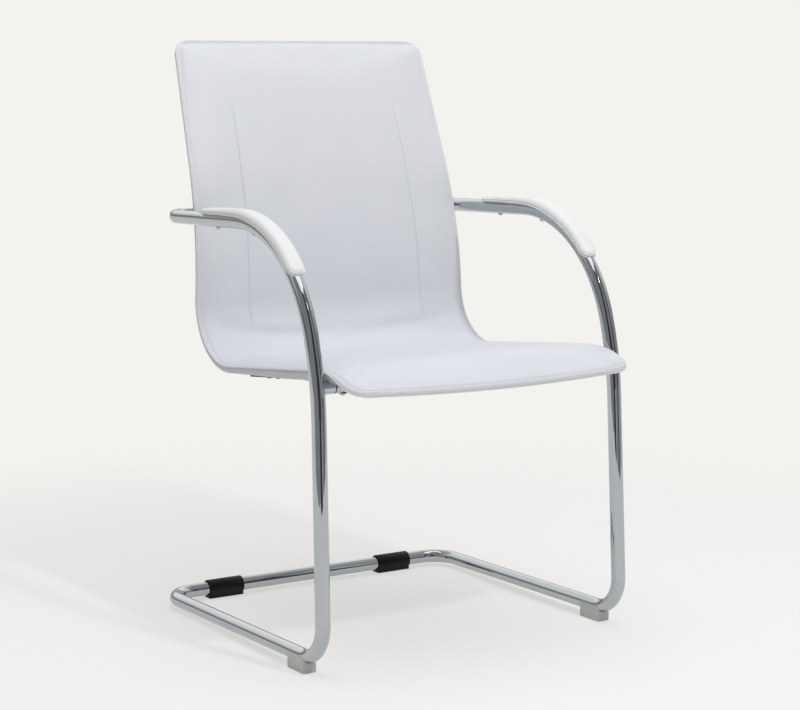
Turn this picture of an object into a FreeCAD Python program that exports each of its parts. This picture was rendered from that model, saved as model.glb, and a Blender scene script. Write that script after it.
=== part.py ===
import FreeCAD, Part
import math
import os

os.makedirs("parts", exist_ok=True)
Vector = FreeCAD.Vector

# Cantilever office chair. Millimetres and degrees. The sitter faces -Y and +Z is up.
# The origin is on the floor under the middle of the chair, and left is the sitter's left, +X.

# Round steel tube of the frame
tube_diameter = 22.0
tube_wall = 2.0
side_spacing = 532.4
side_lean = 0.6
rear_bar_y = 264.7
rear_corner_radius = 45.0
rail_rise = 7.0
leg_foot_y = -234.8
leg_lean = 2.6
front_bend_radius = 55.0
arm_height = 635.0
arm_tilt = 1.5
upper_sweep_radius = 217.0
upper_sweep_angle = 73.0
lower_sweep_radius = 450.0
crossbar_corner_radius = 30.0

# Bending stretch of the legs, where the base and the upper frame part
flex_height = 130.0
flex_gap = 0.2

# Front feet and rear glides
foot_length = 48.0
foot_side = 1.0
foot_rise = 2.4
foot_setback = 38.5
foot_pin_diameter = 6.0
foot_pin_reach = 6.0
glide_length = 62.0
glide_gap = 28.2
glide_wall = 3.0
glide_floor = 4.5
glide_tread = 20.0
glide_slit = 2.0

# Seat and back shell, one bent piece: its edge line from the front nose to the top
bend_centre_y = 89.1
bend_centre_z = 500.0
bend_radius = 90.0
seat_slope = 5.7
seat_straight = 271.0
nose_radius = 165.0
nose_drop = 33.0
back_curve_radius = 632.0
back_lean = 19.5
back_straight = 186.0
top_roll_radius = 30.0
top_roll_angle = 40.0
seat_leg_gap = 2.8
back_taper = 20.0
front_bow_radius = 2420.0
front_corner_radius = 32.0
top_corner_radius = 28.0

# Layers of the shell
cover_thickness = 1.2
core_thickness = 7.0
core_depth = 3.2
layer_gap = 0.2
edge_band = 8.0
edge_lift = 1.0
seam_depth = 1.5
core_inset = 2.6
core_bevel = 1.2
cover_corner = 4.0
seat_crown = 8.0
back_crown = 6.0
channel_depth = 2.0
channel_top_inset = 78.0
channel_bend_inset = 87.0
channel_top_gap = 112.0
channel_bend_reach = 66.0
channel_fade = 27.0
crown_fade = 75.0
crown_at_ends = 2.0

# Front cross tube under the seat, its stubs and its bolts
cross_tube_diameter = 20.0
cross_tube_wall = 1.5
stub_length = 14.0
spigot_reach = 40.0
ring_thickness = 1.6
cross_bolt_setback = 15.0
bolt_diameter = 6.0
bolt_head_diameter = 12.0
bolt_head_height = 4.0
tee_nut_flange = 18.0
tee_nut_flange_thickness = 1.5
tee_nut_barrel = 9.0
tee_nut_length = 6.0
tee_nut_sink = 0.4

# Black steel bars that carry the seat behind the cross tube
seat_bar_width = 30.0
seat_bar_thickness = 4.0
seat_bar_inset = 11.0
seat_bar_bend_gap = 50.5
seat_bar_nose = 6.0
seat_screw_diameter = 5.0
seat_screw_head = 10.0
seat_screw_head_height = 3.2
seat_screw_grip = 6.0
seat_screw_places = (33.0, 59.0, 146.0)

# Back fixings on the crossbar
back_bolt_x = 110.0
spacer_diameter = 20.0
spacer_length = 30.0

# Arm pads
pad_straight = 107.0
pad_tip_angle = 47.5
pad_half_width = 15.0
pad_end_lip = 0.7
pad_end_round = 10.0
pad_height = 10.0
pad_edge_height = 7.5
pad_wrap = 2.5
pad_corner = 2.8
pad_base_cap = 3.0
pad_base_inset = 2.2
pad_screw_diameter = 5.0
pad_screw_head = 9.0
pad_screw_head_height = 3.0
pad_screw_places = (40.0, 158.0)
pad_screw_grip = 2.0
pad_fit = 0.25

# Fits
slip_fit = 0.1
hole_clearance = 0.2
seat_clearance = 0.3

tube_radius = tube_diameter / 2
half_spacing = side_spacing / 2
rear_bar_z = tube_radius + glide_floor
back_depth = core_depth + core_thickness + layer_gap + cover_thickness


# Planar paths in the YZ plane, made of lines and tangent arcs

class SidePath:
    """A path of segments, each a length and a turn in degrees. Its normal is on the left of travel."""

    def __init__(self, y, z, heading, segments):
        self.starts = []
        self.length = 0.0
        for length, turn in segments:
            self.starts.append((self.length, y, z, heading, length, math.radians(turn)))
            y, z, heading = self.advance(y, z, heading, length, math.radians(turn), length)
            self.length += length

    @staticmethod
    def advance(y, z, heading, length, turn, run):
        bend = turn / length
        if abs(turn) < 1e-9:
            return y + run * math.cos(heading), z + run * math.sin(heading), heading
        after = heading + bend * run
        step_y = (math.sin(after) - math.sin(heading)) / bend
        step_z = (math.cos(heading) - math.cos(after)) / bend
        return y + step_y, z + step_z, after

    def at(self, run):
        """Point and normal at a run along the path: y, z, normal y, normal z."""
        for start, y, z, heading, length, turn in self.starts:
            if run <= start + length + 1e-9:
                break
        y, z, heading = self.advance(y, z, heading, length, turn, run - start)
        return y, z, -math.sin(heading), math.cos(heading)

    def nearest(self, y, z):
        """Run along the path where its normal passes through a point."""
        def along(run):
            py, pz, ny, nz = self.at(run)
            return (y - py) * nz - (z - pz) * ny

        steps = 400
        runs = [self.length * i / steps for i in range(steps + 1)]
        steps_between = zip(runs[:-1], runs[1:])
        crossings = [(low, high) for low, high in steps_between if along(low) >= 0 > along(high)]

        def gap(pair):
            py, pz, ny, nz = self.at(pair[0])
            return math.hypot(y - py, z - pz)

        low, high = min(crossings, key=gap)
        return crossing(lambda run: -along(run), low, high)

    def depth(self, y, z):
        """Signed distance of a point from the path, positive on the side of the normal."""
        py, pz, ny, nz = self.at(self.nearest(y, z))
        return (y - py) * ny + (z - pz) * nz


def crossing(function, low, high):
    """Where a function that rises from low to high passes zero."""
    for step in range(60):
        middle = (low + high) / 2
        if function(middle) < 0:
            low = middle
        else:
            high = middle
    return low


def placed(station, x, n):
    y, z, ny, nz = station
    return Vector(x, y + n * ny, z + n * nz)


def section(station, strokes):
    """Closed wire of one cross-section. A stroke is two points for a line or three for an arc."""
    edges = []
    for stroke in strokes:
        points = [placed(station, x, n) for x, n in stroke]
        if len(points) == 2:
            edges.append(Part.LineSegment(*points).toShape())
        else:
            edges.append(Part.Arc(*points).toShape())
    return Part.Wire(edges)


def joined(points_and_arcs):
    """Strokes that run from each point to the next. A pair of points is an arc's middle and end."""
    strokes = []
    here = points_and_arcs[0]
    for item in points_and_arcs[1:]:
        if isinstance(item[0], tuple):
            strokes.append((here, item[0], item[1]))
            here = item[1]
        else:
            strokes.append((here, item))
            here = item
    return strokes


def reversed_strokes(strokes):
    return [tuple(reversed(stroke)) for stroke in reversed(strokes)]


def strip(outer, inner):
    """Closed outline of a thin layer between an outer and an inner line of strokes."""
    end_join = (outer[-1][-1], inner[-1][-1])
    start_join = (inner[0][0], outer[0][0])
    return outer + [end_join] + reversed_strokes(inner) + [start_join]


def mirrored(shape):
    return shape.mirror(Vector(0, 0, 0), Vector(1, 0, 0))


def save(name, *shapes):
    solids = [solid for shape in shapes for solid in shape.Solids]
    result = solids[0] if len(solids) == 1 else Part.makeCompound(solids)
    result.exportStep("parts/" + name + ".step")


def save_pair(name, left_shape):
    save("left_" + name, left_shape)
    save("right_" + name, mirrored(left_shape))


# Edge line of the shell, from the front nose over the seat and up the back

def arc_length(radius, turn):
    return radius * math.radians(abs(turn))


def shell_path():
    slope = math.radians(seat_slope)
    drop = math.radians(nose_drop)
    bend_start_y = bend_centre_y - bend_radius * math.sin(slope)
    bend_start_z = bend_centre_z - bend_radius * math.cos(slope)
    seat_start_y = bend_start_y - seat_straight * math.cos(slope)
    seat_start_z = bend_start_z + seat_straight * math.sin(slope)
    nose_y = seat_start_y - nose_radius * (math.sin(slope) + math.sin(drop))
    nose_z = seat_start_z - nose_radius * (math.cos(slope) - math.cos(drop))
    nose_turn = nose_drop + seat_slope
    return SidePath(nose_y, nose_z, drop, [
        (arc_length(nose_radius, nose_turn), -nose_turn),
        (seat_straight, 0.0),
        (arc_length(bend_radius, 90.0 + seat_slope), 90.0 + seat_slope),
        (arc_length(back_curve_radius, back_lean), -back_lean),
        (back_straight, 0.0),
        (arc_length(top_roll_radius, top_roll_angle), -top_roll_angle),
    ])


shell = shell_path()
seat_start_run = shell.starts[1][0]
bend_start_run = shell.starts[2][0]
bend_end_run = shell.starts[3][0]


# Tube centre line of the left half of the frame

def rounded_path(corners):
    """Wire through corner points, each with the radius of its bend; the two ends have none."""
    edges = []
    here = corners[0][0]
    for (before, r0), (corner, radius), (after, r2) in zip(corners, corners[1:], corners[2:]):
        to_before = (before - corner).normalize()
        to_after = (after - corner).normalize()
        half_turn = (math.pi - to_before.getAngle(to_after)) / 2
        reach = radius * math.tan(half_turn)
        inward = (to_before + to_after).normalize()
        enter = corner + to_before * reach
        leave = corner + to_after * reach
        middle = corner + inward * (radius / math.cos(half_turn) - radius)
        if enter.distanceToPoint(here) > 1e-6:
            edges.append(Part.LineSegment(here, enter).toShape())
        edges.append(Part.Arc(enter, middle, leave).toShape())
        here = leave
    edges.append(Part.LineSegment(here, corners[-1][0]).toShape())
    return Part.Wire(edges)


def pipe(path, radius):
    start = path.Edges[0]
    ring = Part.makeCircle(radius, start.valueAt(start.FirstParameter), start.tangentAt(start.FirstParameter))
    return path.makePipeShell([Part.Wire([ring])], True, False)


def tube(path, radius, wall):
    return pipe(path, radius).cut(pipe(path, radius - wall))


side_turn = FreeCAD.Rotation(Vector(0, 1, 0), -side_lean)
side_pivot = Vector(half_spacing, 0, 0)


def leaned(point):
    """Place of a point of the left side once that side leans inward about its floor line."""
    return side_pivot + side_turn.multVec(point - side_pivot)


lean = math.radians(leg_lean)
rail_front_z = rear_bar_z + rail_rise
lower_sweep_angle = 90.0 + arm_tilt - leg_lean - upper_sweep_angle


def leg_point(z):
    return Vector(half_spacing, leg_foot_y + (z - rail_front_z) * math.tan(lean), z)


def sweep_corners():
    """Corner points of the two sweeps, set so that the upper one ends at the arm's height."""
    lower_reach = lower_sweep_radius * math.tan(math.radians(lower_sweep_angle / 2))
    upper_reach = upper_sweep_radius * math.tan(math.radians(upper_sweep_angle / 2))
    between = math.radians(leg_lean + lower_sweep_angle)
    arm = math.radians(90.0 + arm_tilt)
    step_between = lower_reach + upper_reach
    rise = step_between * math.cos(between) + upper_reach * math.cos(arm)
    lower = leg_point(arm_height - rise)
    upper = lower + Vector(0, step_between * math.sin(between), step_between * math.cos(between))
    sweep_end = upper + Vector(0, upper_reach * math.sin(arm), upper_reach * math.cos(arm))
    return lower, upper, sweep_end, lower_reach


lower_corner, upper_corner, sweep_end, lower_reach = sweep_corners()
leg_path = SidePath(leg_foot_y, rail_front_z, math.radians(90.0 - leg_lean), [
    ((lower_corner - leg_point(rail_front_z)).Length - lower_reach, 0.0),
    (arc_length(lower_sweep_radius, lower_sweep_angle), -lower_sweep_angle),
    (arc_length(upper_sweep_radius, upper_sweep_angle), -upper_sweep_angle),
])


def arm_point(y):
    return Vector(half_spacing, y, sweep_end.z - (y - sweep_end.y) * math.tan(math.radians(arm_tilt)))


crossbar_drop = back_depth + seat_clearance + spacer_length + tube_radius


def behind_back(y):
    """How far the arm line at y is behind the place of the crossbar."""
    point = leaned(arm_point(y))
    return -crossbar_drop - shell.depth(point.y, point.z)


back_y = bend_centre_y + bend_radius
crossbar_y = crossing(behind_back, back_y, back_y + arm_height)
crossbar_corner = leaned(arm_point(crossbar_y))
crossbar_z = crossbar_corner.z
rear_corner = leaned(Vector(half_spacing, rear_bar_y, rear_bar_z))
leg_axis = side_turn.multVec(Vector(0, math.sin(lean), math.cos(lean)))
cut_point = leaned(leg_point(flex_height))
base_end = cut_point - leg_axis * (flex_gap / 2)
upper_start = cut_point + leg_axis * (flex_gap / 2)

base_path = rounded_path([
    (Vector(0, rear_corner.y, rear_corner.z), 0),
    (rear_corner, rear_corner_radius),
    (leaned(leg_point(rail_front_z)), front_bend_radius),
    (base_end, 0),
])
upper_path = rounded_path([
    (upper_start, 0),
    (leaned(lower_corner), lower_sweep_radius),
    (leaned(upper_corner), upper_sweep_radius),
    (crossbar_corner, crossbar_corner_radius),
    (Vector(0, crossbar_y, crossbar_z), 0),
])


# Floor loop of the frame with its front feet and rear glides

foot_front_y = leg_foot_y + foot_setback
foot_middle_y = foot_front_y + foot_length / 2
glide_inner_x = half_spacing - rear_corner_radius - glide_gap - glide_length


def rail_point(y):
    share = (rear_bar_y - y) / (rear_bar_y - leg_foot_y)
    return leaned(Vector(half_spacing, y, rear_bar_z + rail_rise * share))


def front_foot():
    seat = rail_point(foot_middle_y)
    foot_width = tube_diameter + 2 * foot_side
    corner = Vector(seat.x - foot_width / 2, foot_front_y, 0)
    block = Part.makeBox(foot_width, foot_length, seat.z + foot_rise, corner)
    upright = [edge for edge in block.Edges if abs(edge.tangentAt(edge.FirstParameter).z) > 0.9]
    block = block.makeFillet(foot_width / 6, upright)
    block = block.cut(pipe(base_path, tube_radius + slip_fit))
    pin_height = seat.z - tube_radius + foot_pin_reach
    pin = Part.makeCylinder(foot_pin_diameter / 2, pin_height, Vector(seat.x, seat.y, 0))
    return block.fuse(pin).removeSplitter()


def rear_glide():
    start = Vector(glide_inner_x, rear_bar_y, rear_corner.z)
    along = Vector(1, 0, 0)
    outer_radius = tube_radius + glide_wall
    body = Part.makeCylinder(outer_radius, glide_length, start, along)
    tread_corner = Vector(glide_inner_x, rear_bar_y - glide_tread / 2, 0)
    tread = Part.makeBox(glide_length, glide_tread, rear_bar_z, tread_corner)
    body = body.fuse(tread).removeSplitter()
    below = Part.makeBox(glide_length, 2 * outer_radius, outer_radius,
                         Vector(glide_inner_x, rear_bar_y - outer_radius, -outer_radius))
    bore = Part.makeCylinder(tube_radius + slip_fit, glide_length, start, along)
    slit_corner = Vector(glide_inner_x, rear_bar_y, rear_corner.z - glide_slit / 2)
    slit = Part.makeBox(glide_length, outer_radius, glide_slit, slit_corner)
    return body.cut(below).cut(bore).cut(slit)


def floor_tube():
    body = tube(base_path, tube_radius, tube_wall)
    seat = rail_point(foot_middle_y)
    drill_radius = foot_pin_diameter / 2 + hole_clearance
    return body.cut(Part.makeCylinder(drill_radius, seat.z, Vector(seat.x, seat.y, 0)))


save_pair("floor_tube", floor_tube())
save_pair("front_foot", front_foot())
save_pair("rear_glide", rear_glide())


# Place of the front cross tube: between the legs, where they pass just below the shell

cross_radius = cross_tube_diameter / 2
cross_drop = back_depth + seat_clearance + cross_radius


def above_cross_place(run):
    y, z, ny, nz = leg_path.at(run)
    return shell.depth(y, z) + cross_drop


under_seat_run = bend_centre_z - bend_radius - 3 * cross_tube_diameter - rail_front_z
cross_leg_run = crossing(above_cross_place, under_seat_run, under_seat_run + bend_radius)
cross_leg_y, cross_leg_z, leg_ny, leg_nz = leg_path.at(cross_leg_run)
cross_run = shell.nearest(cross_leg_y, cross_leg_z)
cross_station = shell.at(cross_run)
cross_centre = placed(cross_station, 0, -cross_drop)
cross_up = Vector(0, cross_station[2], cross_station[3])
leg_x = leaned(Vector(half_spacing, cross_leg_y, cross_leg_z)).x


# Widths and layers of the shell along its edge line

seat_half_width = leg_x - tube_radius - seat_leg_gap
back_top_half_width = seat_half_width - back_taper
front_bow_half_width = seat_half_width - front_corner_radius


def ease(value):
    value = min(1.0, max(0.0, value))
    return value * value * (3 - 2 * value)


def body_half_width(run):
    share = max(0.0, (run - bend_end_run) / (shell.length - bend_end_run))
    return seat_half_width + (back_top_half_width - seat_half_width) * share


def bow_depth(x):
    return front_bow_radius - math.sqrt(front_bow_radius ** 2 - x * x)


def shell_stations(inset):
    """Runs along the shell and the half width at each, for the outline moved in by an inset."""
    corner_turns = [math.radians(angle) for angle in (20, 45, 68, 90)]
    front_radius = front_corner_radius - inset
    top_radius = top_corner_radius - inset
    result = []
    for share in (0.25, 0.5, 0.75, 1.0):
        x = front_bow_half_width * share
        result.append((bow_depth(x) + inset, x))
    corner_run = bow_depth(front_bow_half_width) + inset
    for turn in corner_turns:
        run = corner_run + front_radius * (1 - math.cos(turn))
        result.append((run, front_bow_half_width + front_radius * math.sin(turn)))
    first_plain = result[-1][0]
    last_plain = shell.length - top_corner_radius
    marks = [start for start, y, z, heading, length, turn in shell.starts[1:]]
    edges = [first_plain] + [mark for mark in marks if first_plain < mark < last_plain] + [last_plain]
    pieces = (8, 2, 14, 10, 6, 3)
    for low, high, count in zip(edges[:-1], edges[1:], pieces):
        for i in range(count):
            run = low + (high - low) * (i + 1) / count
            result.append((run, body_half_width(run) - inset))
    for turn in reversed(corner_turns[:-1]):
        run = last_plain + top_radius * math.cos(turn)
        result.append((run, body_half_width(run) - top_corner_radius + top_radius * math.sin(turn)))
    end_run = last_plain + top_radius
    result.append((end_run, body_half_width(end_run) - top_corner_radius))
    return result


def crown(run):
    share = ease((run - bend_start_run) / (bend_end_run - bend_start_run))
    full = seat_crown + (back_crown - seat_crown) * share
    ends = ease(run / crown_fade) * ease((shell.length - run) / crown_fade)
    return crown_at_ends + (full - crown_at_ends) * ends


def channel(run):
    """Place and depth of the sewn channels at a run along the shell."""
    share = min(1.0, max(0.0, (run - bend_start_run) / (shell.length - bend_start_run)))
    bend_x = seat_half_width - channel_bend_inset
    top_x = back_top_half_width - channel_top_inset
    fade_in = ease((run - bend_end_run + channel_bend_reach) / channel_fade)
    fade_out = ease((shell.length - channel_top_gap - run) / channel_fade)
    return bend_x + (top_x - bend_x) * share, channel_depth * fade_in * fade_out


def top_line(run, half_width, lower):
    """Strokes over the padded face, at a depth below the outer face of the front cover."""
    inner = half_width - edge_band
    edge_n = edge_lift - lower
    peak = crown(run)
    channel_x, depth = channel(run)
    channel_x = min(channel_x, 0.64 * inner)

    def rise(x):
        return edge_n + (peak - edge_lift) * (1 - (x / inner) ** 2)

    middle_x = (channel_x + inner) / 2
    channel_n = rise(channel_x) - depth
    side = half_width - lower
    roll_x = inner + 0.7 * (side - inner)
    roll_n = edge_n - 0.4 * (edge_n + seam_depth)
    return joined([
        (-side, -seam_depth),
        ((-roll_x, roll_n), (-inner, edge_n)),
        ((-middle_x, rise(middle_x)), (-channel_x, channel_n)),
        ((0.0, rise(0.0)), (channel_x, channel_n)),
        ((middle_x, rise(middle_x)), (inner, edge_n)),
        ((roll_x, roll_n), (side, -seam_depth)),
    ])


def closed(strokes, level):
    """Strokes closed by straight sides and a straight line at a level."""
    first, last = strokes[0][0], strokes[-1][-1]
    sides = [last, (last[0], level), (first[0], level), first]
    return strokes + joined([point for i, point in enumerate(sides) if i == 0 or point != sides[i - 1]])


def back_line(half_width, inward):
    """Strokes down one side, across the rear face and up the other side of the back cover."""
    x = half_width - inward
    top = -seam_depth - layer_gap
    bottom = inward - back_depth
    round_off = cover_corner - inward
    shift = round_off * (1 - math.sqrt(0.5))
    return joined([
        (-x, top),
        (-x, bottom + round_off),
        ((-x + shift, bottom + shift), (-x + round_off, bottom)),
        (x - round_off, bottom),
        ((x - shift, bottom + shift), (x, bottom + round_off)),
        (x, top),
    ])


def core_outline(run, half_width):
    x = half_width - core_inset
    top = -core_depth
    bottom = -core_depth - core_thickness
    return joined([
        (-x + core_bevel, bottom),
        (x - core_bevel, bottom),
        (x, bottom + core_bevel),
        (x, top),
        (-x, top),
        (-x, bottom + core_bevel),
        (-x + core_bevel, bottom),
    ])


def foam_outline(run, half_width):
    return closed(top_line(run, half_width - layer_gap, cover_thickness + layer_gap), layer_gap - core_depth)


def front_block_outline(run, half_width):
    return closed(top_line(run, half_width, 0.0), -seam_depth)


def front_hollow_outline(run, half_width):
    return closed(top_line(run, half_width, cover_thickness), -back_depth)


def back_block_outline(run, half_width):
    return closed(back_line(half_width, 0.0), -seam_depth - layer_gap)


def back_hollow_outline(run, half_width):
    return closed(back_line(half_width, cover_thickness), back_depth)


def shell_layer(outline, inset):
    """Body through the outlines along the shell, moved in from its edge all round by an inset."""
    wires = [section(shell.at(run), outline(run, half + inset)) for run, half in shell_stations(inset)]
    return Part.makeLoft(wires, True, True)


# Fixings: bolts, screws and tee nuts lie along a direction, with the head at the start

def bolt(seat_point, direction, diameter, grip, head_diameter, head_height):
    """Dome-headed bolt whose head bears at a point and whose shank runs along a direction."""
    shank = Part.makeCylinder(diameter / 2, grip, seat_point, direction)
    head_radius = head_diameter / 2
    sphere_radius = (head_radius ** 2 + head_height ** 2) / (2 * head_height)
    rim = seat_point - direction * head_height
    ball = Part.makeSphere(sphere_radius, rim + direction * sphere_radius)
    slab = Part.makeCylinder(head_radius, head_height, seat_point, direction * -1)
    socket = Part.makeCylinder(diameter / 4, head_height / 2, rim, direction)
    return slab.common(ball).cut(socket).fuse(shank).removeSplitter()


def frame_bolt(seat_point, direction, grip):
    return bolt(seat_point, direction, bolt_diameter, grip, bolt_head_diameter, bolt_head_height)


def drill(point, direction, diameter, reach):
    start = point - direction * reach
    return Part.makeCylinder(diameter / 2, 2 * reach, start, direction)


def tee_nut(face_point, direction):
    """Flanged insert let into the front face of the core. The direction points out of that face."""
    flange_base = face_point - direction * tee_nut_flange_thickness
    flange = Part.makeCylinder(tee_nut_flange / 2, tee_nut_flange_thickness, flange_base, direction)
    barrel = Part.makeCylinder(tee_nut_barrel / 2, tee_nut_length, face_point, direction * -1)
    bore = drill(face_point, direction, bolt_diameter + 2 * slip_fit, tee_nut_length)
    return flange.fuse(barrel).cut(bore).removeSplitter()


def tee_nut_pocket(face_point, direction):
    flange_base = face_point - direction * (tee_nut_flange_thickness + slip_fit)
    reach = tee_nut_flange_thickness + slip_fit + core_depth
    flange = Part.makeCylinder(tee_nut_flange / 2 + slip_fit, reach, flange_base, direction)
    return flange.fuse(drill(face_point, direction, tee_nut_barrel + 2 * slip_fit, 2 * core_thickness))


def both_sides(shape):
    return [shape, mirrored(shape)]


# Cross tube under the front of the seat, with its welded stubs, rings and bolts

stub_end_x = leg_x - tube_radius - stub_length
cross_end_x = stub_end_x - ring_thickness - 2 * slip_fit
cross_bolt_x = cross_end_x - cross_bolt_setback
cross_bolt_seat = placed(cross_station, cross_bolt_x, -cross_drop - cross_radius - slip_fit)
cross_nut_face = placed(cross_station, cross_bolt_x, -core_depth - tee_nut_sink)
cross_bolt_grip = cross_drop + cross_radius + slip_fit - core_depth - tee_nut_sink
bolt_hole = bolt_diameter + 2 * hole_clearance
spigot_radius = cross_radius - cross_tube_wall - slip_fit
along_x = Vector(1, 0, 0)


def at_x(x):
    return Vector(x, cross_centre.y, cross_centre.z)


def cross_stub(leg_solid):
    boss = Part.makeCylinder(cross_radius, leg_x - stub_end_x, at_x(stub_end_x), along_x)
    spigot_start = cross_end_x - spigot_reach
    spigot = Part.makeCylinder(spigot_radius, stub_end_x - spigot_start, at_x(spigot_start), along_x)
    body = boss.fuse(spigot).removeSplitter().cut(leg_solid)
    pieces = body.cut(drill(cross_bolt_seat, cross_up, bolt_hole, cross_tube_diameter + cross_radius)).Solids
    return max(pieces, key=lambda solid: solid.Volume)


def stub_ring():
    start = at_x(cross_end_x + slip_fit)
    ring = Part.makeCylinder(cross_radius - slip_fit, ring_thickness, start, along_x)
    return ring.cut(Part.makeCylinder(spigot_radius + slip_fit, ring_thickness, start, along_x))


def cross_tube():
    length = 2 * cross_end_x
    body = Part.makeCylinder(cross_radius, length, at_x(-cross_end_x), along_x)
    body = body.cut(Part.makeCylinder(cross_radius - cross_tube_wall, length, at_x(-cross_end_x), along_x))
    for hole in both_sides(drill(cross_bolt_seat, cross_up, bolt_hole, cross_tube_diameter + cross_radius)):
        body = body.cut(hole)
    return body


cross_bolt = frame_bolt(cross_bolt_seat, cross_up, cross_bolt_grip)
cross_nut = tee_nut(cross_nut_face, cross_up)


# Black flat bars from the cross tube back under the seat, screwed into the core

seat_station = shell.at((seat_start_run + bend_start_run) / 2)
seat_up = Vector(0, seat_station[2], seat_station[3])
bar_top = back_depth + seat_clearance
bar_bottom = bar_top + seat_bar_thickness
seat_bar_outer_x = seat_half_width - seat_bar_inset
seat_bar_middle_x = seat_bar_outer_x - seat_bar_width / 2
seat_bar_rear_run = bend_start_run - seat_bar_bend_gap
seat_bar_front_run = min(cross_run, seat_start_run - seat_bar_nose)
seat_screw_seats = []
for place in seat_screw_places:
    seat_screw_seats.append(placed(shell.at(seat_bar_rear_run - place), seat_bar_middle_x, -bar_bottom))


def seat_bar_side(depth):
    """Edges of one face of the bar, bent with the nose of the seat and then straight."""
    nose_run = (seat_bar_front_run + seat_start_run) / 2
    runs = (seat_bar_front_run, nose_run, seat_start_run, seat_bar_rear_run)
    points = [placed(shell.at(run), seat_bar_outer_x - seat_bar_width, -depth) for run in runs]
    return Part.Arc(*points[:3]).toShape(), Part.LineSegment(*points[2:]).toShape(), points


def seat_bar():
    upper_bend, upper_line, upper = seat_bar_side(bar_top)
    lower_bend, lower_line, lower = seat_bar_side(bar_bottom)
    front = Part.LineSegment(lower[0], upper[0]).toShape()
    rear = Part.LineSegment(upper[-1], lower[-1]).toShape()
    outline = Part.Wire(Part.__sortEdges__([upper_bend, upper_line, rear, lower_line, lower_bend, front]))
    bar = Part.Face(outline).extrude(along_x * seat_bar_width)
    bar = bar.cut(Part.makeCylinder(cross_radius + slip_fit, side_spacing, at_x(0), along_x))
    for screw_seat in seat_screw_seats:
        bar = bar.cut(drill(screw_seat, seat_up, seat_screw_diameter + 2 * hole_clearance, bar_bottom))
    return max(bar.Solids, key=lambda solid: solid.Volume)


def seat_screws():
    grip = bar_bottom - core_depth - core_thickness + seat_screw_grip
    result = []
    for screw_seat in seat_screw_seats:
        screw = bolt(screw_seat, seat_up, seat_screw_diameter, grip, seat_screw_head, seat_screw_head_height)
        result += both_sides(screw)
    return result


# Back fixings: bolts through the crossbar and spacers into the core

back_station = shell.at(shell.nearest(crossbar_y, crossbar_z))
back_front = Vector(0, back_station[2], back_station[3])
crossbar_centre = Vector(0, crossbar_y, crossbar_z)
back_bolt_seat = placed(back_station, back_bolt_x, -crossbar_drop - tube_radius - slip_fit)
back_nut_face = placed(back_station, back_bolt_x, -core_depth - tee_nut_sink)
back_bolt_grip = crossbar_drop + tube_radius + slip_fit - core_depth - tee_nut_sink


def back_spacer():
    start = placed(back_station, back_bolt_x, -crossbar_drop)
    length = crossbar_drop - back_depth - seat_clearance
    body = Part.makeCylinder(spacer_diameter / 2, length, start, back_front)
    bar = Part.makeCylinder(tube_radius + slip_fit, side_spacing, crossbar_centre, along_x)
    return body.cut(bar).cut(drill(start, back_front, bolt_hole, 2 * length))


back_bolt = frame_bolt(back_bolt_seat, back_front, back_bolt_grip)
back_nut = tee_nut(back_nut_face, back_front)


# Arm pads follow the arm from its straight part down into the upper sweep

pad_turn = pad_tip_angle + arm_tilt
arm_up = Vector(0, math.sin(math.radians(arm_tilt)), math.cos(math.radians(arm_tilt)))
sweep_centre = sweep_end - arm_up * upper_sweep_radius
tip_heading = math.radians(pad_tip_angle)
pad_tip = sweep_centre + Vector(0, -math.sin(tip_heading), math.cos(tip_heading)) * upper_sweep_radius
pad_path = SidePath(pad_tip.y, pad_tip.z, tip_heading, [
    (arc_length(upper_sweep_radius, pad_turn), -pad_turn),
    (pad_straight, 0.0),
])
groove_radius = tube_radius + pad_fit
pad_skirt = tube_radius - pad_wrap
pad_base_top = tube_radius + pad_base_cap
groove_x = math.sqrt(groove_radius ** 2 - pad_skirt ** 2)
pad_end_half_width = groove_x + pad_base_inset + pad_end_lip


def pad_stations():
    """Runs along a pad and the half width of the pad at each, with rounded ends."""
    rounding = []
    for turn in (0, 25, 50, 70, 90):
        angle = math.radians(turn)
        inset = (pad_half_width - pad_end_half_width) * (1 - math.sin(angle))
        rounding.append((pad_end_round * (1 - math.cos(angle)), pad_half_width - inset))
    sweep_run = pad_path.starts[1][0]
    tail = pad_path.length - pad_end_round
    middle = [pad_end_round + (sweep_run - pad_end_round) * i / 8 for i in range(1, 9)]
    middle += [sweep_run + (tail - sweep_run) * i / 3 for i in range(1, 3)]
    plain = [(run, pad_half_width) for run in middle]
    rear = [(pad_path.length - run, half) for run, half in reversed(rounding)]
    return rounding + plain + rear


def pad_cover_line(half_width, inward):
    x = half_width - inward
    top = tube_radius + pad_height - inward
    edge = tube_radius + pad_edge_height - inward
    shift = pad_corner * (1 - math.sqrt(0.5))
    return joined([
        (-x, pad_skirt),
        (-x, edge - pad_corner),
        ((-x + shift, edge - shift), (-x + pad_corner, edge)),
        ((0.0, top), (x - pad_corner, edge)),
        ((x - shift, edge - shift), (x, edge - pad_corner)),
        (x, pad_skirt),
    ])


def pad_cover_outline(half_width):
    return strip(pad_cover_line(half_width, 0.0), pad_cover_line(half_width, cover_thickness))


def pad_foam_outline(half_width):
    over = pad_cover_line(half_width, cover_thickness + layer_gap)[1:-1]
    left, right = over[0][0], over[-1][-1]
    floor = pad_base_top + layer_gap
    return over + joined([right, (right[0], floor), (left[0], floor), left])


def pad_base_outline(half_width):
    x = half_width - pad_base_inset
    return joined([
        (-x, pad_skirt),
        (-groove_x, pad_skirt),
        ((0.0, groove_radius), (groove_x, pad_skirt)),
        (x, pad_skirt),
        (x, pad_base_top),
        (-x, pad_base_top),
        (-x, pad_skirt),
    ])


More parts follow.
